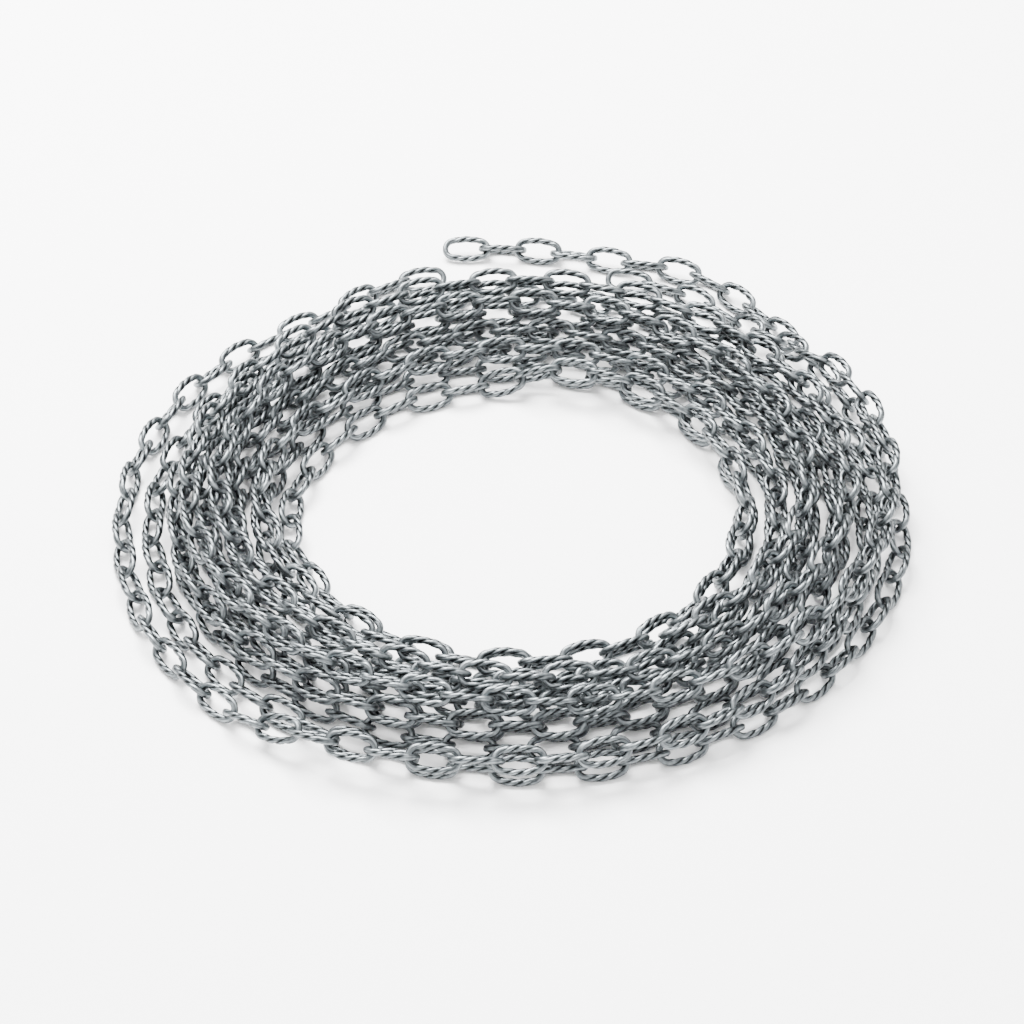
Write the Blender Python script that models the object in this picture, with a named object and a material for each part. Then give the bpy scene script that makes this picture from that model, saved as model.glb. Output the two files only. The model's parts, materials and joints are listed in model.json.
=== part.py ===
"""A loose ring-shaped coil of small steel chain, lying flat on the ground.

The links are long ones, bent from 4 mm twisted wire, and each is turned a quarter turn from the last.
One long chain starts at its free end behind the coil, winds six turns inwards on the ground, climbs
onto them and winds nearly five turns outwards on top, down to the ground outside them.  A short chain
lies over its start and then on top of everything for two turns.
Metres, +Z up, the ground at zero and the origin below the middle of the whole.
"""

import math

import bmesh
import bpy
import numpy as np
from mathutils import Vector

# The wire and the link, which give the scale of everything else
WIRE = 0.004
INNER_LENGTH = 5.7 * WIRE
OUTER_WIDTH = 4.3 * WIRE
PITCH = 5.6 * WIRE
LEG_OFFSET = (OUTER_WIDTH - WIRE) / 2
LEG_HALF = 0.31 * PITCH
ROLL = math.radians(45)
ROLL_SPREAD = math.radians(7)

# The ring that the strands fill, as (degrees, outermost strand's radius, innermost strand's radius)
RING = (
    (-135, 0.206, 0.127), (-90, 0.207, 0.127), (-45, 0.214, 0.129), (0, 0.219, 0.130),
    (45, 0.213, 0.125), (90, 0.212, 0.120), (135, 0.2015, 0.120), (180, 0.207, 0.128),
)
GROUND_LANES = 6
LAID_HEIGHT = LEG_OFFSET * math.sin(ROLL) + WIRE / 2
CLEARANCE = 2 * LAID_HEIGHT + 0.0017
SQUARENESS = 6

# The free stretches, as points on the ground chosen by hand
LONG_START = (
    (-0.041, 0.258), (-0.030, 0.258), (-0.007, 0.257), (0.016, 0.255), (0.039, 0.250),
    (0.062, 0.244), (0.083, 0.240), (0.101, 0.235), (0.119, 0.222), (0.138, 0.203),
    (0.167, 0.160), (0.188, 0.124), (0.202, 0.082), (0.2145, 0.0405),
)
LONG_FINISH = (
    (-0.2186, -0.0385), (-0.2225, -0.002), (-0.220, 0.039), (-0.209, 0.076), (-0.193, 0.112),
    (-0.171, 0.142), (-0.1405, 0.1685), (-0.110, 0.1915), (-0.080, 0.217), (-0.062, 0.2235),
    (-0.0454, 0.2275),
)
SHORT_START = (
    (0.060, 0.2262), (0.071, 0.2245), (0.097, 0.213), (0.113, 0.201), (0.137, 0.176),
)

# The lane of each pass, counted from the outermost strand, as (turns from the back, lane)
LONG_LANES = (
    (0.25, 0.0), (0.95, 0.0), (1.20, 1.0), (1.95, 1.0), (2.22, 2.0), (2.96, 2.0), (3.25, 3.0),
    (3.97, 3.0), (4.27, 4.0), (4.97, 4.0), (5.27, 5.0), (5.97, 5.0), (6.27, 5.05), (6.50, 4.0),
    (6.97, 4.15), (7.27, 4.0), (7.50, 2.95), (7.97, 3.15), (8.27, 3.0), (8.50, 1.95), (8.97, 2.15),
    (9.27, 2.0), (9.50, 0.95), (9.97, 1.1), (10.27, 0.95), (10.41, -0.1), (10.57, -1.0),
)
SHORT_LANES = (
    (0.15, 0.0), (0.24, 0.4), (0.38, 0.7), (0.50, 1.4), (0.97, 1.5), (1.27, 1.7), (1.50, 2.5),
    (1.97, 2.6), (2.15, 2.8), (2.42, 3.4),
)
LANE_BLEND = 0.10
TURN_STEP = 0.012
ROUTE_STEP = WIRE
WANDER = 0.0008
WANDER_WAVES = (2.07, 3.1, 5.9)
STRAND_NEIGHBOURS = 14
SMOOTHING = 5

# The joints of the fused strands
CROWN_HALF = 1.05 * WIRE
CROWN_REACH = 0.85 * WIRE
CUT_GAP = 0.06 * WIRE
LEG_FOOT = 0.5 * WIRE
LEG_RIDGE = 0.42 * WIRE
SECTION_HALF = 0.42 * WIRE
SECTION_INSIDE = 0.34 * WIRE
HOOK_GAP = 1.25 * WIRE

LONG_START_LINKS = 6
LONG_FINISH_LINKS = 3
SHORT_START_LINKS = 2
ZINC_GREY = (0.42, 0.44, 0.45, 1.0)


def clear_scene():
    for item in list(bpy.data.objects):
        bpy.data.objects.remove(item, do_unlink=True)


def zinc_material(name):
    material = bpy.data.materials.new(name)
    material.use_nodes = True
    shader = material.node_tree.nodes["Principled BSDF"]
    shader.inputs["Base Color"].default_value = ZINC_GREY
    shader.inputs["Metallic"].default_value = 0.9
    shader.inputs["Roughness"].default_value = 0.45
    return material


def lane_radius(angle, lane):
    """Radius of a lane's middle line, where the ring is not quite round."""
    degrees, outer, inner = np.array(RING).T
    outer = np.interp(np.degrees(angle), degrees, outer, period=360)
    inner = np.interp(np.degrees(angle), degrees, inner, period=360)
    return outer + (inner - outer) * lane / (GROUND_LANES - 1)


def coil_points(lanes, first, last, phase):
    """Points of the wound stretch between two turn counts, clockwise from the back."""
    turns = np.arange(first, last, TURN_STEP)
    keys = np.array(lanes)
    spread = np.linspace(-LANE_BLEND / 2, LANE_BLEND / 2, 9)
    lane = np.mean([np.interp(turns + shift, keys[:, 0], keys[:, 1]) for shift in spread], axis=0)
    angle = math.pi / 2 - 2 * math.pi * turns
    radius = lane_radius(angle, lane)
    for number, waves in enumerate(WANDER_WAVES):
        radius += WANDER / (number + 1) * np.sin(2 * math.pi * waves * turns + phase * (number + 1))
    return np.stack([radius * np.cos(angle), radius * np.sin(angle)], axis=1)


def smooth_line(points):
    """An evenly stepped smooth line through the given points."""
    points = np.array(points, dtype=float)
    padded = np.vstack([2 * points[0] - points[1], points, 2 * points[-1] - points[-2]])
    fine = []
    for index in range(1, len(padded) - 2):
        before, start, end, after = padded[index - 1:index + 3]
        for share in np.linspace(0, 1, 12, endpoint=False):
            fine.append(0.5 * (2 * start + (end - before) * share
                               + (2 * before - 5 * start + 4 * end - after) * share ** 2
                               + (3 * start - before - 3 * end + after) * share ** 3))
    fine.append(padded[-2])
    fine = np.array(fine)
    travelled = np.concatenate([[0], np.cumsum(np.linalg.norm(np.diff(fine, axis=0), axis=1))])
    places = np.arange(0, travelled[-1], ROUTE_STEP)
    return np.stack([np.interp(places, travelled, fine[:, axis]) for axis in (0, 1)], axis=1)


def stacking_height(apart):
    """How far a strand's middle lies above another's, a level distance away: almost a square."""
    return CLEARANCE * (1 - (apart / CLEARANCE) ** SQUARENESS) ** (1 / SQUARENESS)


def laid_heights(line, under):
    """Height of each point of a strand that rests on the ground, on itself and on other strands."""
    count = len(line)
    raw = np.full(count, LAID_HEIGHT)
    laid = np.full(count, LAID_HEIGHT)
    window = 2 * SMOOTHING
    for index in range(count + window):
        if index < count:
            older = max(0, index - STRAND_NEIGHBOURS)
            below = np.vstack([under, np.column_stack([line[:older], laid[:older]])])
            if len(below):
                apart = np.hypot(*(below[:, :2] - line[index]).T)
                near = apart < CLEARANCE
                if near.any():
                    rise = below[near, 2] + stacking_height(apart[near])
                    raw[index] = max(LAID_HEIGHT, rise.max())
        ready = index - window
        if 0 <= ready < count:
            peaks = [raw[max(0, place - SMOOTHING):place + SMOOTHING + 1].max()
                     for place in range(max(0, ready - SMOOTHING), min(count, ready + SMOOTHING + 1))]
            laid[ready] = sum(peaks) / len(peaks)
    return laid


def chain_joints(line, heights):
    """Places where one link hangs in the next, evenly spaced over the whole strand."""
    route = np.column_stack([line, heights])
    travelled = np.concatenate([[0], np.cumsum(np.linalg.norm(np.diff(route, axis=0), axis=1))])
    places = np.linspace(0, travelled[-1], math.ceil(travelled[-1] / PITCH) + 1)
    return np.stack([np.interp(places, travelled, route[:, axis]) for axis in range(3)], axis=1)


class Chain:
    """The joints of one chain and the axes of each of its links."""

    def __init__(self, line, under, seed, start_links, finish_links):
        heights = laid_heights(line, under)
        self.route = np.column_stack([line, heights])
        self.joints = chain_joints(line, heights)
        self.count = len(self.joints) - 1
        spread = np.clip(np.random.RandomState(seed).normal(0, 0.5, self.count), -1, 1)
        spread[:start_links + 1] = 0
        spread[self.count - finish_links - 1:] = 0
        self.rolls = [(ROLL if number % 2 else -ROLL) + ROLL_SPREAD * share
                      for number, share in enumerate(spread)]
        self.lift_to_ground(start_links, finish_links)

    def lift_to_ground(self, start_links, finish_links):
        needs = [LEG_OFFSET * abs(math.sin(roll)) + WIRE / 2 for roll in self.rolls]
        free_need = (LEG_OFFSET + WIRE / 2 + SECTION_HALF) * math.sin(ROLL)
        needs[:start_links] = [free_need] * start_links
        if finish_links:
            needs[-finish_links:] = [free_need] * finish_links
        for number in range(len(self.joints)):
            need = max(needs[max(0, number - 1):number + 1])
            self.joints[number][2] = max(self.joints[number][2], need)

    def axes(self, number):
        """A link's direction, its width direction and its middle."""
        start = Vector(self.joints[number])
        end = Vector(self.joints[number + 1])
        along = (end - start).normalized()
        level = along.cross(Vector((0, 0, 1))).normalized()
        upright = level.cross(along)
        roll = self.rolls[number]
        across = level * math.cos(roll) + upright * math.sin(roll)
        return along, across, (start + end) / 2


def ordered(corners, along):
    """Three corners in turning order round a direction."""
    level = along.cross(Vector((0, 0, 1))).normalized()
    upright = level.cross(along)
    middle = sum(corners, Vector()) / 3
    return sorted(corners, key=lambda corner: math.atan2((corner - middle).dot(upright),
                                                         (corner - middle).dot(level)))


def leg_ring(centre, along, lower):
    """Three corners of a leg's section, with its flat towards the ground on a lower leg."""
    level = along.cross(Vector((0, 0, 1))).normalized()
    upright = level.cross(along)
    side = -1 if lower else 1
    return [centre - level * LEG_FOOT + upright * side * LEG_FOOT,
            centre + level * LEG_FOOT + upright * side * LEG_FOOT,
            centre - upright * side * LEG_RIDGE]


def join_rings(mesh, first, second, along):
    """Three side faces between two three-cornered rings."""
    first = ordered(first, along)
    second = ordered(second, along)
    shift = min(range(3), key=lambda turn: sum((first[corner] - second[(corner + turn) % 3]).length
                                               for corner in range(3)))
    second = [second[(corner + shift) % 3] for corner in range(3)]
    for corner in range(3):
        after = (corner + 1) % 3
        mesh.append((first[corner], first[after], second[after]))
        mesh.append((first[corner], second[after], second[corner]))


def joint_corners(chain, number, first, last, cuts):
    """Back and front edges of the knot where two links meet, or of the cut end of a strand."""
    place = Vector(chain.joints[number])
    before = chain.axes(max(first, number - 1))
    after = chain.axes(min(last - 1, number))
    along = (before[0] + after[0]).normalized()
    back_edge = after[1]
    front_edge = before[1]
    back = -CROWN_REACH
    front = CROWN_REACH
    if number == first:
        front_edge = after[0].cross(after[1])
        back = cuts[0]
        front = cuts[0] + CROWN_REACH
    if number == last:
        back_edge = before[0].cross(before[1])
        back = -cuts[1] - CROWN_REACH
        front = -cuts[1]
    backs = [place + along * back + back_edge * CROWN_HALF * side for side in (1, -1)]
    fronts = [place + along * front + front_edge * CROWN_HALF * side for side in (1, -1)]
    return backs, fronts


def strand_triangles(chain, first, last, cuts):
    """Faces of the links from one joint to another, fused where they hang in each other."""
    faces = []
    knots = [joint_corners(chain, number, first, last, cuts) for number in range(first, last + 1)]
    backs, fronts = knots[0]
    for front in fronts:
        faces.append((backs[0], backs[1], front))
    for number in range(first, last):
        along, across, middle = chain.axes(number)
        start_backs, start_fronts = knots[number - first]
        end_backs, end_fronts = knots[number - first + 1]
        lead = cuts[0] if number == first else 0.0
        trail = cuts[1] if number == last - 1 else 0.0
        for side in (1, -1):
            start_tip = max(start_backs, key=lambda corner: (corner - middle).dot(across * side))
            end_tip = max(end_fronts, key=lambda corner: (corner - middle).dot(across * side))
            leg = middle + across * LEG_OFFSET * side
            lower = (across * side).z < 0
            rings = [start_fronts + [start_tip],
                     leg_ring(leg - along * (LEG_HALF - lead), along, lower),
                     leg_ring(leg + along * (LEG_HALF - trail), along, lower),
                     end_backs + [end_tip]]
            for near, far in zip(rings[:-1], rings[1:]):
                join_rings(faces, near, far, along)
    backs, fronts = knots[-1]
    for back in backs:
        faces.append((fronts[0], fronts[1], back))
    return faces


def loop_corners():
    """Middle line of a free link's wire, as (along, across) pairs."""
    apex = INNER_LENGTH / 2 + WIRE / 2
    shoulder = apex - 1.6 * WIRE
    flank = LEG_OFFSET
    crown = 0.85 * WIRE
    quarter = [(shoulder, flank), (apex, crown), (apex, -crown), (shoulder, -flank)]
    return quarter + [(-along, -across) for along, across in quarter]


def free_link_triangles(chain, number):
    """Faces of one whole link of square section, clear of its neighbours."""
    along, across, middle = chain.axes(number)
    normal = along.cross(across)
    corners = [Vector(pair) for pair in loop_corners()]
    rings = []
    for index, corner in enumerate(corners):
        before = (corner - corners[index - 1]).normalized()
        after = (corners[(index + 1) % len(corners)] - corner).normalized()
        bisector = (before + after).normalized()
        outward = Vector((bisector.y, -bisector.x))
        if outward.dot(corner) < 0:
            outward = -outward
        stretch = 1 / bisector.dot(after)
        ring = []
        for out, up in ((WIRE / 2, 1), (-SECTION_INSIDE, 1), (-SECTION_INSIDE, -1), (WIRE / 2, -1)):
            flat = corner + outward * stretch * out
            ring.append(middle + along * flat.x + across * flat.y + normal * SECTION_HALF * up)
        rings.append(ring)
    faces = []
    for index, ring in enumerate(rings):
        following = rings[(index + 1) % len(rings)]
        for corner in range(4):
            after = (corner + 1) % 4
            faces.append((ring[corner], ring[after], following[after]))
            faces.append((ring[corner], following[after], following[corner]))
    return faces


def add_node(name, faces, root):
    """One closed solid from loose triangles, under the coil's empty."""
    mesh = bmesh.new()
    for face in faces:
        mesh.faces.new([mesh.verts.new(corner) for corner in face])
    bmesh.ops.remove_doubles(mesh, verts=mesh.verts, dist=0.00002)
    bmesh.ops.recalc_face_normals(mesh, faces=mesh.faces)
    data = bpy.data.meshes.new(name)
    mesh.to_mesh(data)
    mesh.free()
    data.materials.append(zinc_material(name))
    item = bpy.data.objects.new(name, data)
    bpy.context.collection.objects.link(item)
    item.parent = root
    return item


def turn_bounds(chain, start_links, finish_links):
    """Joint numbers that split a chain's wound stretch into turns, where it passes the back."""
    first = start_links
    last = chain.count - finish_links
    bounds = [first]
    for number in range(first + 8, last - 8):
        here = chain.joints[number]
        following = chain.joints[number + 1]
        if here[0] < 0 <= following[0] and here[1] > 0:
            bounds.append(number)
    return bounds + [last]


def build_long_chain(root):
    start = np.array(LONG_START)
    finish = np.array(LONG_FINISH)
    wound = coil_points(LONG_LANES, 0.26, 10.69, 1.0)
    line = smooth_line(np.vstack([start, wound, finish]))
    chain = Chain(line, np.empty((0, 3)), 11, LONG_START_LINKS, LONG_FINISH_LINKS)
    for number in range(LONG_START_LINKS):
        add_node(f"start_link_{number + 1}", free_link_triangles(chain, number), root)
    bounds = turn_bounds(chain, LONG_START_LINKS, LONG_FINISH_LINKS)
    for turn, (first, last) in enumerate(zip(bounds[:-1], bounds[1:]), start=1):
        cuts = (HOOK_GAP if turn == 1 else CUT_GAP, HOOK_GAP if last == bounds[-1] else CUT_GAP)
        add_node(f"chain_turn_{turn}", strand_triangles(chain, first, last, cuts), root)
    for number in range(LONG_FINISH_LINKS):
        place = chain.count - LONG_FINISH_LINKS + number
        add_node(f"finish_link_{number + 1}", free_link_triangles(chain, place), root)
    return chain


def build_short_chain(root, under):
    wound = coil_points(SHORT_LANES, 0.15, 2.42, 2.0)
    line = smooth_line(np.vstack([np.array(SHORT_START), wound]))
    chain = Chain(line, under, 23, SHORT_START_LINKS, 0)
    for number in range(SHORT_START_LINKS):
        add_node(f"short_link_{number + 1}", free_link_triangles(chain, number), root)
    cuts = (HOOK_GAP, CUT_GAP)
    add_node("short_length", strand_triangles(chain, SHORT_START_LINKS, chain.count, cuts), root)
    return chain


def centre_on_ground(root):
    """Move the coil so that the origin lies below the middle of its box."""
    bpy.context.view_layer.update()
    places = [item.matrix_world @ corner.co for item in root.children for corner in item.data.vertices]
    low = Vector([min(place[axis] for place in places) for axis in range(3)])
    high = Vector([max(place[axis] for place in places) for axis in range(3)])
    root.location = (-(low.x + high.x) / 2, -(low.y + high.y) / 2, -low.z)


def main():
    clear_scene()
    root = bpy.data.objects.new("chain_coil", None)
    bpy.context.collection.objects.link(root)
    long_chain = build_long_chain(root)
    build_short_chain(root, long_chain.route)
    centre_on_ground(root)


main()
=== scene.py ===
"""Looks of a loose ring-shaped coil of galvanised chain, bent from twisted wire.

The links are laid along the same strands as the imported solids, which they replace: one long chain
wound six turns inwards on the ground and nearly five outwards on top, and a short chain over it.  Metres, +Z up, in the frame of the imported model.
"""

import json
import math

import bpy
import numpy as np
from mathutils import Matrix, Vector

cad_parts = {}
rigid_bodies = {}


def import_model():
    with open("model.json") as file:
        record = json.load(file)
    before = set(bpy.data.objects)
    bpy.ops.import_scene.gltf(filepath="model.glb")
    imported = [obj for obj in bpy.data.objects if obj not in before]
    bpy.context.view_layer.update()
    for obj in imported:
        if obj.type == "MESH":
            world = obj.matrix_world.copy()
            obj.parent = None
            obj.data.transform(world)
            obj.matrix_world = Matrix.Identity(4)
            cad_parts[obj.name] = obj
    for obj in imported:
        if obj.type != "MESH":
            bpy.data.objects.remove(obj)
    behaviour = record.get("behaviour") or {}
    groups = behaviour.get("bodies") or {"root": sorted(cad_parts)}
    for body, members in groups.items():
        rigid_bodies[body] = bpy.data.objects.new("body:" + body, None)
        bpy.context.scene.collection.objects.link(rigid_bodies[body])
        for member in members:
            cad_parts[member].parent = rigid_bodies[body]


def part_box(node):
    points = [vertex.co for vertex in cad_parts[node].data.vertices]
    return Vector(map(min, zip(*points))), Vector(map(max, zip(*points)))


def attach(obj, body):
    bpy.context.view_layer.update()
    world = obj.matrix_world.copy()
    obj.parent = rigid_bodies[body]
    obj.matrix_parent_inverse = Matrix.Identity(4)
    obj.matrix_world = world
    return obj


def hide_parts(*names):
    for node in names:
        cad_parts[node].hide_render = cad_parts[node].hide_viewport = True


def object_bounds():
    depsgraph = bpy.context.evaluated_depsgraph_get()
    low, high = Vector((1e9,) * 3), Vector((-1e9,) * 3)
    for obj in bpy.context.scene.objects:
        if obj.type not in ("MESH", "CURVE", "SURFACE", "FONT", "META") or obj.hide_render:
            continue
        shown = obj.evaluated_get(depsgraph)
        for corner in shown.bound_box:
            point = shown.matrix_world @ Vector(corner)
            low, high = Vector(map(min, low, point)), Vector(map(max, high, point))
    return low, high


bl_info = {
    "name": "Chain Coil",
    "version": (1, 0, 0),
    "blender": (4, 5, 0),
    "location": "3D View > Sidebar > Chain Coil",
    "description": "Lays a loose coil of twisted-wire chain and sets its stage",
    "category": "Add Mesh",
}

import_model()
CAD_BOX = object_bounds()

# The ring that the strands fill, as (degrees, outermost strand's radius, innermost strand's radius)
RING = (
    (-135, 0.206, 0.127), (-90, 0.207, 0.127), (-45, 0.214, 0.129), (0, 0.219, 0.130),
    (45, 0.213, 0.125), (90, 0.212, 0.120), (135, 0.2015, 0.120), (180, 0.207, 0.128),
)
GROUND_LANES = 6

# The free stretches, as listed points on the ground
LONG_START = (
    (-0.041, 0.258), (-0.030, 0.258), (-0.007, 0.257), (0.016, 0.255), (0.039, 0.250),
    (0.062, 0.244), (0.083, 0.240), (0.101, 0.235), (0.119, 0.222), (0.138, 0.203),
    (0.167, 0.160), (0.188, 0.124), (0.202, 0.082), (0.2145, 0.0405),
)
LONG_FINISH = (
    (-0.2186, -0.0385), (-0.2225, -0.002), (-0.220, 0.039), (-0.209, 0.076), (-0.193, 0.112),
    (-0.171, 0.142), (-0.1405, 0.1685), (-0.110, 0.1915), (-0.080, 0.217), (-0.062, 0.2235),
    (-0.0454, 0.2275),
)
SHORT_START = (
    (0.060, 0.2262), (0.071, 0.2245), (0.097, 0.213), (0.113, 0.201), (0.137, 0.176),
)

# The lane of each pass, counted from the outermost strand, as (turns from the back, lane)
LONG_LANES = (
    (0.25, 0.0), (0.95, 0.0), (1.20, 1.0), (1.95, 1.0), (2.22, 2.0), (2.96, 2.0), (3.25, 3.0),
    (3.97, 3.0), (4.27, 4.0), (4.97, 4.0), (5.27, 5.0), (5.97, 5.0), (6.27, 5.05), (6.50, 4.0),
    (6.97, 4.15), (7.27, 4.0), (7.50, 2.95), (7.97, 3.15), (8.27, 3.0), (8.50, 1.95), (8.97, 2.15),
    (9.27, 2.0), (9.50, 0.95), (9.97, 1.1), (10.27, 0.95), (10.41, -0.1), (10.57, -1.0),
)
SHORT_LANES = (
    (0.15, 0.0), (0.24, 0.4), (0.38, 0.7), (0.50, 1.4), (0.97, 1.5), (1.27, 1.7), (1.50, 2.5),
    (1.97, 2.6), (2.15, 2.8), (2.42, 3.4),
)
LONG_WOUND = (0.26, 10.69)
SHORT_WOUND = (0.15, 2.42)
LAID_WIRE = 0.004
LANE_BLEND = 0.10
TURN_STEP = 0.012
WANDER = 0.0008
WANDER_WAVES = (2.07, 3.1, 5.9)
STRAND_NEIGHBOURS = 14
SMOOTHING = 5
SQUARENESS = 6
STANDARD_ROLL = math.radians(45)

LONG_START_LINKS = 6
LONG_FINISH_LINKS = 3
SHORT_START_LINKS = 2

# How a link's mesh is divided
LEG_RINGS = 17
CROWN_RINGS = 14
STRANDS = 3
POINTS_PER_STRAND = 4
LINK_SHAPES = 4
SHAPES_COLLECTION = "link_shapes"
RELIEF = "relief"
TONE = "link_tone"
WIRE_PLACE = "wire_place"


class ChainSizes(bpy.types.PropertyGroup):
    """Sizes of the wire and the links."""

    wire: bpy.props.FloatProperty(
        name="Wire", description="Thickness over the twisted wire's ridges",
        default=0.0043, unit="LENGTH")
    crown_wire: bpy.props.FloatProperty(
        name="Crown Wire", description="Thickness of the wire where it is bent round a link's end",
        default=0.0039, unit="LENGTH")
    inner_length: bpy.props.FloatProperty(
        name="Inner Length", description="Length of a link's eye",
        default=5.7 * LAID_WIRE, unit="LENGTH")
    outer_width: bpy.props.FloatProperty(
        name="Outer Width", description="Width over both legs of a link",
        default=4.3 * LAID_WIRE, unit="LENGTH")
    leg_bow: bpy.props.FloatProperty(
        name="Leg Bow", description="How far the legs bulge outwards between the crowns",
        default=0.0010, unit="LENGTH")
    pitch: bpy.props.FloatProperty(
        name="Pitch", description="Length that each link adds to the chain",
        default=5.6 * LAID_WIRE, unit="LENGTH")
    twist_steps: bpy.props.IntProperty(
        name="Twist", description="Thirds of a turn that the wire is twisted round a whole link",
        default=6)
    groove_depth: bpy.props.FloatProperty(
        name="Groove Depth", description="Depth of the twist's grooves, as a share of the radius",
        default=0.32, subtype="FACTOR")
    roll_spread: bpy.props.FloatProperty(
        name="Roll Spread", description="How unevenly the links lean to one side or the other",
        default=math.radians(11), subtype="ANGLE")
    sway: bpy.props.FloatProperty(
        name="Sway", description="How far the joints stray to either side of the strand's line",
        default=0.0005, unit="LENGTH")


class ChainFinish(bpy.types.PropertyGroup):
    """Colours and gloss of the galvanised wire, with the painted shade of its grooves."""

    zinc: bpy.props.FloatVectorProperty(
        name="Zinc", description="Main colour of the zinc coat", subtype="COLOR",
        default=(0.066, 0.074, 0.079))
    bright_zinc: bpy.props.FloatVectorProperty(
        name="Bright Zinc", description="Colour of the rubbed ridges", subtype="COLOR",
        default=(0.27, 0.295, 0.305))
    # Painted shade: a near-black colour laid into the twist's grooves, where shade falls.
    groove: bpy.props.FloatVectorProperty(
        name="Groove", description="Colour of the dull metal in the grooves", subtype="COLOR",
        default=(0.009, 0.010, 0.0105))
    roughness: bpy.props.FloatProperty(
        name="Roughness", description="Roughness of the clean coat", default=0.30,
        subtype="FACTOR")


class StageSettings(bpy.types.PropertyGroup):
    """Place of the camera and strength of the lights."""

    elevation: bpy.props.FloatProperty(
        name="Elevation", description="Height of the camera above the ground's plane",
        default=math.radians(40), subtype="ANGLE")
    distance: bpy.props.FloatProperty(
        name="Distance", description="From the camera to the point it looks at",
        default=2.043, unit="LENGTH")
    lens: bpy.props.FloatProperty(
        name="Lens", description="Focal length in millimetres", default=125.7)
    floor_colour: bpy.props.FloatVectorProperty(
        name="Floor", description="Colour of the floor", subtype="COLOR",
        default=(0.96, 0.96, 0.96))
    softbox_power: bpy.props.FloatProperty(
        name="Softbox Power", description="Power of the large light overhead, in watts",
        default=330.0)
    sky_strength: bpy.props.FloatProperty(
        name="Sky Strength", description="Brightness of the surroundings", default=3.5)


def lane_radius(angle, lane):
    """Radius of a lane's middle line, where the ring is not quite round."""
    degrees, outer, inner = np.array(RING).T
    outer = np.interp(np.degrees(angle), degrees, outer, period=360)
    inner = np.interp(np.degrees(angle), degrees, inner, period=360)
    return outer + (inner - outer) * lane / (GROUND_LANES - 1)


def coil_points(lanes, first, last, phase):
    """Points of the wound stretch between two turn counts, clockwise from the back."""
    turns = np.arange(first, last, TURN_STEP)
    keys = np.array(lanes)
    spread = np.linspace(-LANE_BLEND / 2, LANE_BLEND / 2, 9)
    lane = np.mean([np.interp(turns + shift, keys[:, 0], keys[:, 1]) for shift in spread], axis=0)
    angle = math.pi / 2 - 2 * math.pi * turns
    radius = lane_radius(angle, lane)
    for number, waves in enumerate(WANDER_WAVES):
        radius += WANDER / (number + 1) * np.sin(2 * math.pi * waves * turns + phase * (number + 1))
    return np.stack([radius * np.cos(angle), radius * np.sin(angle)], axis=1)


def smooth_line(points, step):
    """An evenly stepped smooth line through the given points."""
    points = np.array(points, dtype=float)
    padded = np.vstack([2 * points[0] - points[1], points, 2 * points[-1] - points[-2]])
    fine = []
    for index in range(1, len(padded) - 2):
        before, start, end, after = padded[index - 1:index + 3]
        for share in np.linspace(0, 1, 12, endpoint=False):
            fine.append(0.5 * (2 * start + (end - before) * share
                               + (2 * before - 5 * start + 4 * end - after) * share ** 2
                               + (3 * start - before - 3 * end + after) * share ** 3))
    fine.append(padded[-2])
    fine = np.array(fine)
    travelled = np.concatenate([[0], np.cumsum(np.linalg.norm(np.diff(fine, axis=0), axis=1))])
    places = np.arange(0, travelled[-1], step)
    return np.stack([np.interp(places, travelled, fine[:, axis]) for axis in (0, 1)], axis=1)


def laid_heights(line, under, laid_height, clearance):
    """Height of each point of a strand that rests on the ground, on itself and on other strands."""
    count = len(line)
    raw = np.full(count, laid_height)
    laid = np.full(count, laid_height)
    window = 2 * SMOOTHING
    for index in range(count + window):
        if index < count:
            older = max(0, index - STRAND_NEIGHBOURS)
            below = np.vstack([under, np.column_stack([line[:older], laid[:older]])])
            if len(below):
                apart = np.hypot(*(below[:, :2] - line[index]).T)
                near = apart < clearance
                if near.any():
                    share = 1 - (apart[near] / clearance) ** SQUARENESS
                    rise = below[near, 2] + clearance * share ** (1 / SQUARENESS)
                    raw[index] = max(laid_height, rise.max())
        ready = index - window
        if 0 <= ready < count:
            peaks = [raw[max(0, place - SMOOTHING):place + SMOOTHING + 1].max()
                     for place in range(max(0, ready - SMOOTHING), min(count, ready + SMOOTHING + 1))]
            laid[ready] = sum(peaks) / len(peaks)
    return laid


def evenly_spaced(route, pitch):
    """Places where one link hangs in the next, evenly spaced over the whole strand."""
    travelled = np.concatenate([[0], np.cumsum(np.linalg.norm(np.diff(route, axis=0), axis=1))])
    places = np.linspace(0, travelled[-1], math.ceil(travelled[-1] / pitch) + 1)
    return np.stack([np.interp(places, travelled, route[:, axis]) for axis in range(3)], axis=1)


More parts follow.
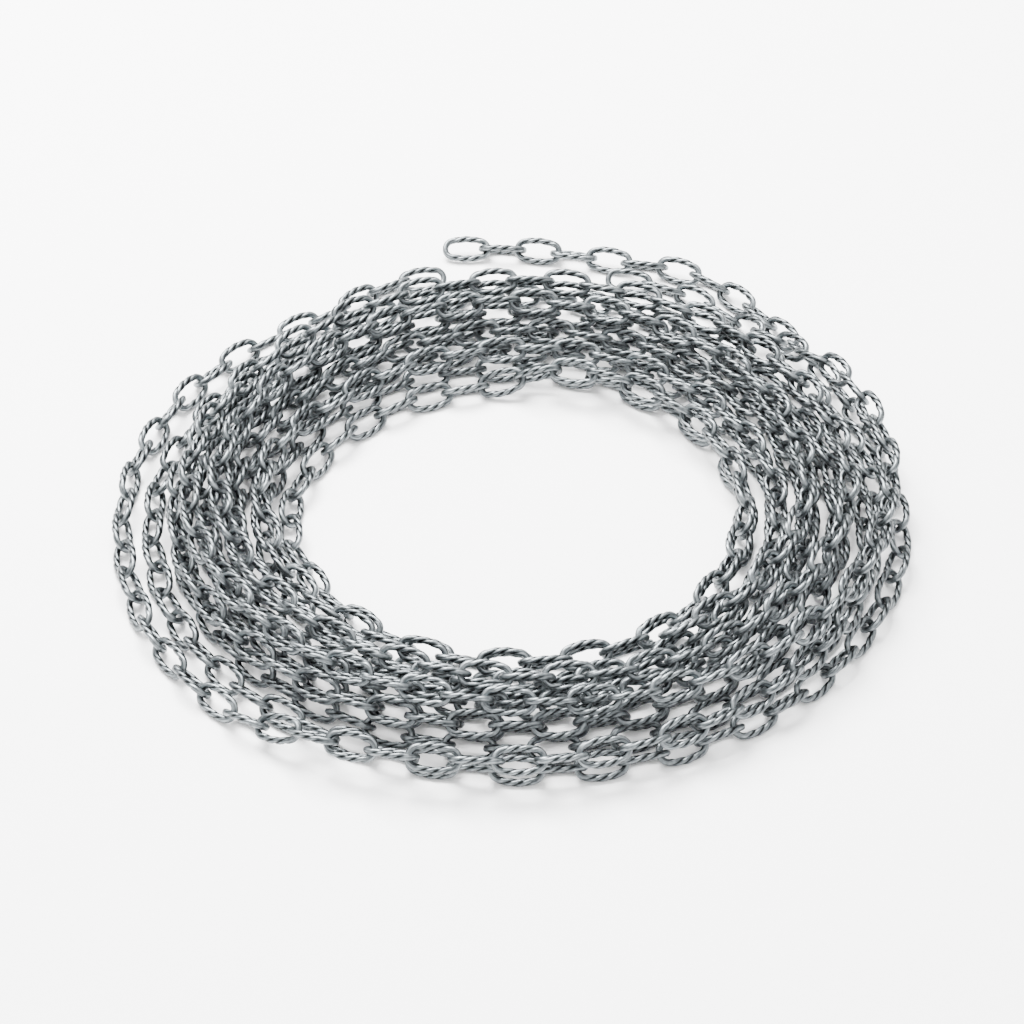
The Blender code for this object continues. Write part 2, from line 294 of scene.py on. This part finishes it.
class LaidChain:
    """The place, direction and width direction of each link of one chain."""

    def __init__(self, line, under, seed, sizes):
        leg_offset = (sizes.outer_width - LAID_WIRE) / 2
        laid_height = leg_offset * math.sin(STANDARD_ROLL) + LAID_WIRE / 2
        clearance = 2 * laid_height + 0.0017
        heights = laid_heights(line, under, laid_height, clearance)
        self.route = np.column_stack([line, heights])
        joints = evenly_spaced(self.route, sizes.pitch)
        self.joints = joints
        self.count = len(joints) - 1
        chance = np.random.RandomState(seed)
        leans = np.clip(chance.normal(0, 0.6, self.count), -1.4, 1.4)
        joints = joints + self.sideways(joints) * sizes.sway * chance.uniform(-1, 1, (len(joints), 1))
        standard = np.where(np.arange(self.count) % 2 == 1, STANDARD_ROLL, -STANDARD_ROLL)
        self.rolls = standard + sizes.roll_spread * leans
        self.along = joints[1:] - joints[:-1]
        self.along /= np.linalg.norm(self.along, axis=1)[:, None]
        level = np.cross(self.along, (0, 0, 1))
        level /= np.linalg.norm(level, axis=1)[:, None]
        upright = np.cross(level, self.along)
        self.across = (level * np.cos(self.rolls)[:, None] + upright * np.sin(self.rolls)[:, None])
        self.middle = (joints[1:] + joints[:-1]) / 2
        self.half_length = (sizes.inner_length + sizes.wire) / 2
        self.leg_offset = leg_offset
        self.wire = sizes.wire

    @staticmethod
    def sideways(joints):
        """Level directions square to the strand at each joint."""
        run = np.gradient(joints, axis=0)
        level = np.cross(run, (0, 0, 1))
        return level / np.linalg.norm(level, axis=1)[:, None]

    def settle(self, shift):
        """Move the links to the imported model's frame, none into the ground or out of its box."""
        reach = np.abs(self.across) * self.leg_offset + self.wire / 2
        reach[:, :2] = np.hypot(self.across[:, :2] * self.leg_offset,
                                self.along[:, :2] * self.half_length) + self.wire / 2
        low, high = np.array(CAD_BOX)
        self.middle = np.clip(self.middle + shift, low + reach, high - reach)


def long_chain(sizes):
    wound = coil_points(LONG_LANES, *LONG_WOUND, 1.0)
    line = smooth_line(np.vstack([LONG_START, wound, LONG_FINISH]), LAID_WIRE)
    return LaidChain(line, np.empty((0, 3)), 11, sizes)


def short_chain(sizes, under):
    wound = coil_points(SHORT_LANES, *SHORT_WOUND, 2.0)
    line = smooth_line(np.vstack([SHORT_START, wound]), LAID_WIRE)
    return LaidChain(line, under, 23, sizes)


def coil_shift(chain):
    """From the coil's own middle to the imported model's origin, found at the first free link."""
    low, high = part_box("start_link_1")
    middle = (Vector(low) + Vector(high)) / 2
    first = (chain.joints[0] + chain.joints[1]) / 2
    return np.array((middle.x - first[0], middle.y - first[1], 0.0))


def turn_bounds(chain):
    """Joint numbers that split the long chain's wound stretch into turns, at the back."""
    first = LONG_START_LINKS
    last = chain.count - LONG_FINISH_LINKS
    bounds = [first]
    for number in range(first + 8, last - 8):
        here = chain.joints[number]
        following = chain.joints[number + 1]
        if here[0] < 0 <= following[0] and here[1] > 0:
            bounds.append(number)
    return bounds + [last]


def link_middle_line(sizes):
    """Middle line of a link's wire, anticlockwise, and how much of a crown each point is."""
    half_length = sizes.inner_length / 2 + sizes.crown_wire / 2
    flank = (sizes.outer_width - sizes.wire) / 2
    crown_radius = flank - sizes.leg_bow
    half_leg = half_length - crown_radius
    places = []
    crowns = []
    for side in (1, -1):
        for ring in range(LEG_RINGS):
            share = 2 * ring / LEG_RINGS - 1
            bow = sizes.leg_bow * (1 - share ** 2)
            places.append((-side * share * half_leg, side * (crown_radius + bow)))
            crowns.append(abs(share) ** 3 * 0.35)
        for ring in range(CROWN_RINGS):
            turn = math.pi / 2 + math.pi * ring / CROWN_RINGS
            places.append((side * (-half_leg + crown_radius * math.cos(turn)),
                           side * crown_radius * math.sin(turn)))
            crowns.append(0.35 + 0.65 * math.sin(math.pi * ring / CROWN_RINGS) ** 0.6)
    return np.array(places), np.array(crowns)


def twisted_link(name, sizes, phase):
    """Mesh of one link, whose section is a three-strand twist that fades round the crowns."""
    line, crown = link_middle_line(sizes)
    count = len(line)
    chord = np.roll(line, -1, axis=0) - np.roll(line, 1, axis=0)
    chord /= np.linalg.norm(chord, axis=1)[:, None]
    outward = np.column_stack([chord[:, 1], -chord[:, 0]])
    steps = np.linalg.norm(np.roll(line, -1, axis=0) - line, axis=1)
    travel = np.concatenate([[0], np.cumsum(steps)])
    rate = steps * (1 - 0.9 * crown)
    twist = np.concatenate([[0], np.cumsum(rate)])
    twist = phase + twist / twist[-1] * sizes.twist_steps * 2 * math.pi / STRANDS
    around = STRANDS * POINTS_PER_STRAND
    depth = np.array((0.0, 0.24, 1.0, 0.24))
    vertices = []
    relief = []
    places = []
    for ring in range(count):
        along_wire = abs(travel[ring] - travel[-1] / 2)
        radius = (sizes.wire + (sizes.crown_wire - sizes.wire) * crown[ring]) / 2
        groove = sizes.groove_depth * (1 - 0.55 * crown[ring])
        for corner in range(around):
            angle = twist[ring] + 2 * math.pi * corner / around
            sunk = groove * depth[corner % POINTS_PER_STRAND]
            reach = radius * (1 - sunk)
            sideways = reach * math.cos(angle)
            vertices.append((line[ring, 0] + outward[ring, 0] * sideways,
                             line[ring, 1] + outward[ring, 1] * sideways,
                             reach * math.sin(angle)))
            relief.append(1 - sunk / sizes.groove_depth)
            own_angle = 2 * math.pi * corner / around
            places.extend((along_wire, radius * math.cos(own_angle), radius * math.sin(own_angle)))
    closing = sizes.twist_steps * POINTS_PER_STRAND % around
    faces = []
    for ring in range(count):
        following = (ring + 1) % count
        shift = closing if following == 0 else 0
        for corner in range(around):
            after = (corner + 1) % around
            faces.append((ring * around + corner,
                          following * around + (corner + shift) % around,
                          following * around + (after + shift) % around,
                          ring * around + after))
    mesh = bpy.data.meshes.new(name)
    mesh.from_pydata(vertices, [], faces)
    mesh.attributes.new(RELIEF, "FLOAT", "POINT").data.foreach_set("value", relief)
    mesh.attributes.new(WIRE_PLACE, "FLOAT_VECTOR", "POINT").data.foreach_set("vector", places)
    mesh.shade_smooth()
    mesh.update()
    return mesh


def link_shapes(sizes):
    """A few links whose twist starts at different places, to pick from along the chain."""
    shapes = bpy.data.collections.get(SHAPES_COLLECTION)
    if shapes:
        return shapes
    shapes = bpy.data.collections.new(SHAPES_COLLECTION)
    bpy.context.scene.collection.children.link(shapes)
    for number in range(LINK_SHAPES):
        phase = 2 * math.pi / STRANDS * number / LINK_SHAPES
        mesh = twisted_link(f"link_shape_{number + 1}", sizes, phase)
        shapes.objects.link(bpy.data.objects.new(mesh.name, mesh))
    return shapes


def clear_link_shapes():
    """Remove the single links once every chain is laid."""
    shapes = bpy.data.collections[SHAPES_COLLECTION]
    for item in list(shapes.objects):
        bpy.data.meshes.remove(item.data)
    bpy.data.collections.remove(shapes)


def node(tree, kind, **settings):
    made = tree.nodes.new(kind)
    for name, value in settings.items():
        setattr(made, name, value)
    return made


def open_socket(sockets, name):
    """The socket of that name which the node's data type shows."""
    return next(socket for socket in sockets if socket.name == name and socket.enabled)


def link_laying_tree():
    """Geometry Nodes that put a link on each point, turned by the point's two directions."""
    tree = bpy.data.node_groups.get("lay_links")
    if tree:
        return tree
    tree = bpy.data.node_groups.new("lay_links", "GeometryNodeTree")
    tree.is_modifier = True
    face = tree.interface
    face.new_socket("Geometry", in_out="INPUT", socket_type="NodeSocketGeometry")
    face.new_socket("Link Shapes", in_out="INPUT", socket_type="NodeSocketCollection")
    face.new_socket("Finish", in_out="INPUT", socket_type="NodeSocketMaterial")
    face.new_socket("Seed", in_out="INPUT", socket_type="NodeSocketInt")
    face.new_socket("Geometry", in_out="OUTPUT", socket_type="NodeSocketGeometry")
    start = node(tree, "NodeGroupInput")
    end = node(tree, "NodeGroupOutput")
    shapes = node(tree, "GeometryNodeCollectionInfo")
    shapes.inputs["Separate Children"].default_value = True
    along = node(tree, "GeometryNodeInputNamedAttribute", data_type="FLOAT_VECTOR")
    along.inputs["Name"].default_value = "along"
    across = node(tree, "GeometryNodeInputNamedAttribute", data_type="FLOAT_VECTOR")
    across.inputs["Name"].default_value = "across"
    turn = node(tree, "FunctionNodeAxesToRotation", primary_axis="X", secondary_axis="Y")
    pick = node(tree, "FunctionNodeRandomValue", data_type="INT")
    open_socket(pick.inputs, "Min").default_value = 0
    open_socket(pick.inputs, "Max").default_value = LINK_SHAPES - 1
    lay = node(tree, "GeometryNodeInstanceOnPoints")
    lay.inputs["Pick Instance"].default_value = True
    tone = node(tree, "FunctionNodeRandomValue", data_type="FLOAT")
    keep = node(tree, "GeometryNodeStoreNamedAttribute", data_type="FLOAT", domain="INSTANCE")
    keep.inputs["Name"].default_value = TONE
    realize = node(tree, "GeometryNodeRealizeInstances")
    finish = node(tree, "GeometryNodeSetMaterial")
    join = tree.links.new
    join(start.outputs["Link Shapes"], shapes.inputs["Collection"])
    join(open_socket(along.outputs, "Attribute"), turn.inputs["Primary Axis"])
    join(open_socket(across.outputs, "Attribute"), turn.inputs["Secondary Axis"])
    join(start.outputs["Seed"], pick.inputs["Seed"])
    join(start.outputs["Seed"], tone.inputs["Seed"])
    join(start.outputs["Geometry"], lay.inputs["Points"])
    join(shapes.outputs["Instances"], lay.inputs["Instance"])
    join(turn.outputs["Rotation"], lay.inputs["Rotation"])
    join(open_socket(pick.outputs, "Value"), lay.inputs["Instance Index"])
    join(lay.outputs["Instances"], keep.inputs["Geometry"])
    join(open_socket(tone.outputs, "Value"), open_socket(keep.inputs, "Value"))
    join(keep.outputs["Geometry"], realize.inputs["Geometry"])
    join(realize.outputs["Geometry"], finish.inputs["Geometry"])
    join(start.outputs["Finish"], finish.inputs["Material"])
    join(finish.outputs["Geometry"], end.inputs["Geometry"])
    return tree


def link_points(name, chain, first, last):
    """Loose points at the middles of some links, carrying each link's two directions."""
    mesh = bpy.data.meshes.new(name)
    mesh.from_pydata(chain.middle[first:last].tolist(), [], [])
    for word, directions in (("along", chain.along), ("across", chain.across)):
        stored = mesh.attributes.new(word, "FLOAT_VECTOR", "POINT")
        stored.data.foreach_set("vector", directions[first:last].astype(np.float32).ravel())
    points = bpy.data.objects.new(name, mesh)
    bpy.context.scene.collection.objects.link(points)
    return points


def lay_links(replaced, chain, first, last, seed):
    """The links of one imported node, as one plain mesh that stands for it."""
    settings = bpy.context.scene
    points = link_points(f"{replaced}_points", chain, first, last)
    tree = link_laying_tree()
    laying = points.modifiers.new("Lay Links", "NODES")
    laying.node_group = tree
    values = {
        "Link Shapes": link_shapes(settings.chain_sizes),
        "Finish": galvanised_wire(settings.chain_finish),
        "Seed": seed,
    }
    for socket in tree.interface.items_tree:
        if socket.in_out == "INPUT" and socket.name in values:
            laying[socket.identifier] = values[socket.name]
    bpy.context.view_layer.update()
    evaluated = points.evaluated_get(bpy.context.evaluated_depsgraph_get())
    mesh = bpy.data.meshes.new_from_object(evaluated)
    mesh.name = f"{replaced}_links"
    piece = bpy.data.objects.new(f"{replaced}_links", mesh)
    bpy.context.scene.collection.objects.link(piece)
    bpy.data.objects.remove(points)
    if len(mesh.polygons) == 0:
        raise RuntimeError(f"no links were laid for {replaced}")
    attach(piece, "root")
    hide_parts(replaced)
    return piece


def galvanised_wire(finish):
    """Dull zinc with bright ridges, painted shade darkening the grooves and a little difference
    between links.
    """
    material = bpy.data.materials.get("galvanised_wire")
    if material:
        return material
    material = bpy.data.materials.new("galvanised_wire")
    material.use_nodes = True
    tree = material.node_tree
    shader = tree.nodes["Principled BSDF"]
    shader.inputs["Metallic"].default_value = 1.0
    place = node(tree, "ShaderNodeTexCoord")
    relief = node(tree, "ShaderNodeAttribute", attribute_name=RELIEF)
    tone = node(tree, "ShaderNodeAttribute", attribute_name=TONE)

    mottle = node(tree, "ShaderNodeTexNoise")
    mottle.inputs["Scale"].default_value = 260.0
    mottle.inputs["Detail"].default_value = 4.0
    mottle.inputs["Roughness"].default_value = 0.65
    patches = node(tree, "ShaderNodeTexVoronoi")
    patches.inputs["Scale"].default_value = 420.0

    # The twist's relief masks the painted shade: 0 in a groove, 1 on a ridge.
    ridge = node(tree, "ShaderNodeMapRange", interpolation_type="SMOOTHSTEP")
    ridge.inputs["From Min"].default_value = 0.10
    ridge.inputs["From Max"].default_value = 0.95

    spread = node(tree, "ShaderNodeMix", data_type="RGBA")
    open_socket(spread.inputs, "A").default_value = (*finish.zinc, 1.0)
    open_socket(spread.inputs, "B").default_value = (*finish.bright_zinc, 1.0)
    wear = node(tree, "ShaderNodeMath", operation="MULTIPLY_ADD", use_clamp=True)
    wear.inputs[1].default_value = 0.55
    wear.inputs[2].default_value = 0.10

    # Painted shade: the near-black groove colour, mixed in where the relief is low.
    painted_groove_shade = node(tree, "ShaderNodeMix", data_type="RGBA")
    open_socket(painted_groove_shade.inputs, "A").default_value = (*finish.groove, 1.0)

    shade = node(tree, "ShaderNodeMapRange")
    shade.inputs["To Min"].default_value = 0.82
    shade.inputs["To Max"].default_value = 1.08
    toned = node(tree, "ShaderNodeVectorMath", operation="SCALE")

    gloss = node(tree, "ShaderNodeMapRange")
    gloss.inputs["To Min"].default_value = finish.roughness - 0.08
    gloss.inputs["To Max"].default_value = finish.roughness + 0.22

    wire_place = node(tree, "ShaderNodeAttribute", attribute_name=WIRE_PLACE)
    stretch = node(tree, "ShaderNodeMapping")
    stretch.inputs["Scale"].default_value = (0.14, 1.0, 1.0)
    streaks = node(tree, "ShaderNodeTexNoise")
    streaks.inputs["Scale"].default_value = 1600.0
    streaks.inputs["Detail"].default_value = 3.0
    streaked = node(tree, "ShaderNodeMapRange")
    streaked.inputs["From Min"].default_value = 0.3
    streaked.inputs["From Max"].default_value = 0.7
    streaked.inputs["To Min"].default_value = 0.6
    streaked.inputs["To Max"].default_value = 1.35
    both = node(tree, "ShaderNodeMath", operation="MULTIPLY")

    fine = node(tree, "ShaderNodeTexNoise")
    fine.inputs["Scale"].default_value = 1500.0
    fine.inputs["Detail"].default_value = 3.0
    rough = node(tree, "ShaderNodeMath", operation="ADD")
    bump = node(tree, "ShaderNodeBump")
    bump.inputs["Strength"].default_value = 0.35
    bump.inputs["Distance"].default_value = 0.00015

    join = tree.links.new
    for texture in (mottle, patches, fine):
        join(place.outputs["Object"], texture.inputs["Vector"])
    join(relief.outputs["Fac"], ridge.inputs["Value"])
    join(patches.outputs["Distance"], wear.inputs[0])
    join(wear.outputs["Value"], open_socket(spread.inputs, "Factor"))
    join(ridge.outputs["Result"], open_socket(painted_groove_shade.inputs, "Factor"))
    join(open_socket(spread.outputs, "Result"), open_socket(painted_groove_shade.inputs, "B"))
    join(tone.outputs["Fac"], shade.inputs["Value"])
    join(open_socket(painted_groove_shade.outputs, "Result"), toned.inputs[0])
    join(wire_place.outputs["Vector"], stretch.inputs["Vector"])
    join(stretch.outputs["Vector"], streaks.inputs["Vector"])
    join(streaks.outputs["Fac"], streaked.inputs["Value"])
    join(shade.outputs["Result"], both.inputs[0])
    join(streaked.outputs["Result"], both.inputs[1])
    join(both.outputs["Value"], toned.inputs["Scale"])
    join(toned.outputs["Vector"], shader.inputs["Base Color"])
    join(mottle.outputs["Fac"], gloss.inputs["Value"])
    join(gloss.outputs["Result"], shader.inputs["Roughness"])
    join(fine.outputs["Fac"], rough.inputs[0])
    join(streaks.outputs["Fac"], rough.inputs[1])
    join(rough.outputs["Value"], bump.inputs["Height"])
    join(bump.outputs["Normal"], shader.inputs["Normal"])
    return material


class CHAINCOIL_OT_lay_long_chain(bpy.types.Operator):
    """Lay the long chain: its free end links, its turns and its other end"""

    bl_idname = "chaincoil.lay_long_chain"
    bl_label = "Lay Long Chain"

    def execute(self, context):
        chain = long_chain(context.scene.chain_sizes)
        chain.settle(coil_shift(chain))
        for number in range(LONG_START_LINKS):
            lay_links(f"start_link_{number + 1}", chain, number, number + 1, number)
        bounds = turn_bounds(chain)
        for turn, (first, last) in enumerate(zip(bounds[:-1], bounds[1:]), start=1):
            lay_links(f"chain_turn_{turn}", chain, first, last, 20 + turn)
        for number in range(LONG_FINISH_LINKS):
            place = chain.count - LONG_FINISH_LINKS + number
            lay_links(f"finish_link_{number + 1}", chain, place, place + 1, 40 + number)
        return {"FINISHED"}


class CHAINCOIL_OT_lay_short_chain(bpy.types.Operator):
    """Lay the short chain over the start of the long one"""

    bl_idname = "chaincoil.lay_short_chain"
    bl_label = "Lay Short Chain"

    def execute(self, context):
        under = long_chain(context.scene.chain_sizes)
        chain = short_chain(context.scene.chain_sizes, under.route)
        chain.settle(coil_shift(under))
        for number in range(SHORT_START_LINKS):
            lay_links(f"short_link_{number + 1}", chain, number, number + 1, 60 + number)
        lay_links("short_length", chain, SHORT_START_LINKS, chain.count, 70)
        clear_link_shapes()
        return {"FINISHED"}


def add_floor(settings):
    """A wide pale floor, level with the ground under the coil."""
    material = bpy.data.materials.new("pale_floor")
    material.use_nodes = True
    shader = material.node_tree.nodes["Principled BSDF"]
    shader.inputs["Base Color"].default_value = (*settings.floor_colour, 1.0)
    shader.inputs["Roughness"].default_value = 0.9
    reach = 6.0
    mesh = bpy.data.meshes.new("floor")
    corners = [(-reach, -reach, 0), (reach, -reach, 0), (reach, reach, 0), (-reach, reach, 0)]
    mesh.from_pydata(corners, [], [(0, 1, 2, 3)])
    mesh.materials.append(material)
    floor = bpy.data.objects.new("floor", mesh)
    bpy.context.scene.collection.objects.link(floor)


def add_softbox(name, place, target, size, power):
    light = bpy.data.lights.new(name, "AREA")
    light.shape = "DISK"
    light.size = size
    light.energy = power
    lamp = bpy.data.objects.new(name, light)
    lamp.location = place
    lamp.rotation_euler = (target - place).to_track_quat("-Z", "Y").to_euler()
    bpy.context.scene.collection.objects.link(lamp)


def add_sky(settings):
    """Surroundings that are bright overhead and greyer near the ground, for the metal to mirror."""
    world = bpy.data.worlds.new("studio")
    bpy.context.scene.world = world
    world.use_nodes = True
    tree = world.node_tree
    background = tree.nodes["Background"]
    background.inputs["Strength"].default_value = settings.sky_strength
    place = node(tree, "ShaderNodeTexCoord")
    split = node(tree, "ShaderNodeSeparateXYZ")
    ramp = node(tree, "ShaderNodeValToRGB")
    ramp.color_ramp.elements[0].position = 0.0
    ramp.color_ramp.elements[0].color = (0.10, 0.104, 0.108, 1.0)
    ramp.color_ramp.elements[1].position = 0.75
    ramp.color_ramp.elements[1].color = (1.0, 1.0, 1.0, 1.0)
    tree.links.new(place.outputs["Generated"], split.inputs["Vector"])
    tree.links.new(split.outputs["Z"], ramp.inputs["Fac"])
    tree.links.new(ramp.outputs["Color"], background.inputs["Color"])


def add_camera(settings, target):
    data = bpy.data.cameras.new("camera")
    data.lens = settings.lens
    data.sensor_width = 36.0
    data.clip_end = 50.0
    camera = bpy.data.objects.new("camera", data)
    away = Vector((0, -math.cos(settings.elevation), math.sin(settings.elevation)))
    camera.location = target + away * settings.distance
    camera.rotation_euler = (math.pi / 2 - settings.elevation, 0, 0)
    bpy.context.scene.collection.objects.link(camera)
    bpy.context.scene.camera = camera


class CHAINCOIL_OT_set_stage(bpy.types.Operator):
    """Add the floor, the lights and the camera"""

    bl_idname = "chaincoil.set_stage"
    bl_label = "Set Stage"

    def execute(self, context):
        settings = context.scene.chain_stage
        chain = long_chain(context.scene.chain_sizes)
        shift = Vector(coil_shift(chain))
        target = shift + Vector((-0.0016, 0.0106, 0.0))
        add_floor(settings)
        add_sky(settings)
        add_softbox("overhead_softbox", Vector((-0.5, 0.9, 1.9)), target, 1.6,
                    settings.softbox_power)
        add_camera(settings, target)
        return {"FINISHED"}


class CHAINCOIL_PT_panel(bpy.types.Panel):
    """Lists the steps that lay the coil and set its stage."""

    bl_label = "Chain Coil"
    bl_idname = "CHAINCOIL_PT_panel"
    bl_space_type = "VIEW_3D"
    bl_region_type = "UI"
    bl_category = "Chain Coil"

    def draw(self, context):
        layout = self.layout
        for group in (context.scene.chain_sizes, context.scene.chain_finish,
                      context.scene.chain_stage):
            box = layout.box()
            for name in group.__annotations__:
                box.prop(group, name)
        layout.operator(CHAINCOIL_OT_lay_long_chain.bl_idname)
        layout.operator(CHAINCOIL_OT_lay_short_chain.bl_idname)
        layout.operator(CHAINCOIL_OT_set_stage.bl_idname)


CLASSES = (
    ChainSizes,
    ChainFinish,
    StageSettings,
    CHAINCOIL_OT_lay_long_chain,
    CHAINCOIL_OT_lay_short_chain,
    CHAINCOIL_OT_set_stage,
    CHAINCOIL_PT_panel,
)


def register():
    for each in CLASSES:
        bpy.utils.register_class(each)
    bpy.types.Scene.chain_sizes = bpy.props.PointerProperty(type=ChainSizes)
    bpy.types.Scene.chain_finish = bpy.props.PointerProperty(type=ChainFinish)
    bpy.types.Scene.chain_stage = bpy.props.PointerProperty(type=StageSettings)


def unregister():
    del bpy.types.Scene.chain_stage
    del bpy.types.Scene.chain_finish
    del bpy.types.Scene.chain_sizes
    for each in reversed(CLASSES):
        bpy.utils.unregister_class(each)


def main():
    register()
    bpy.ops.chaincoil.lay_long_chain()
    bpy.ops.chaincoil.lay_short_chain()
    bpy.ops.chaincoil.set_stage()


if __name__ == "__main__":
    main()
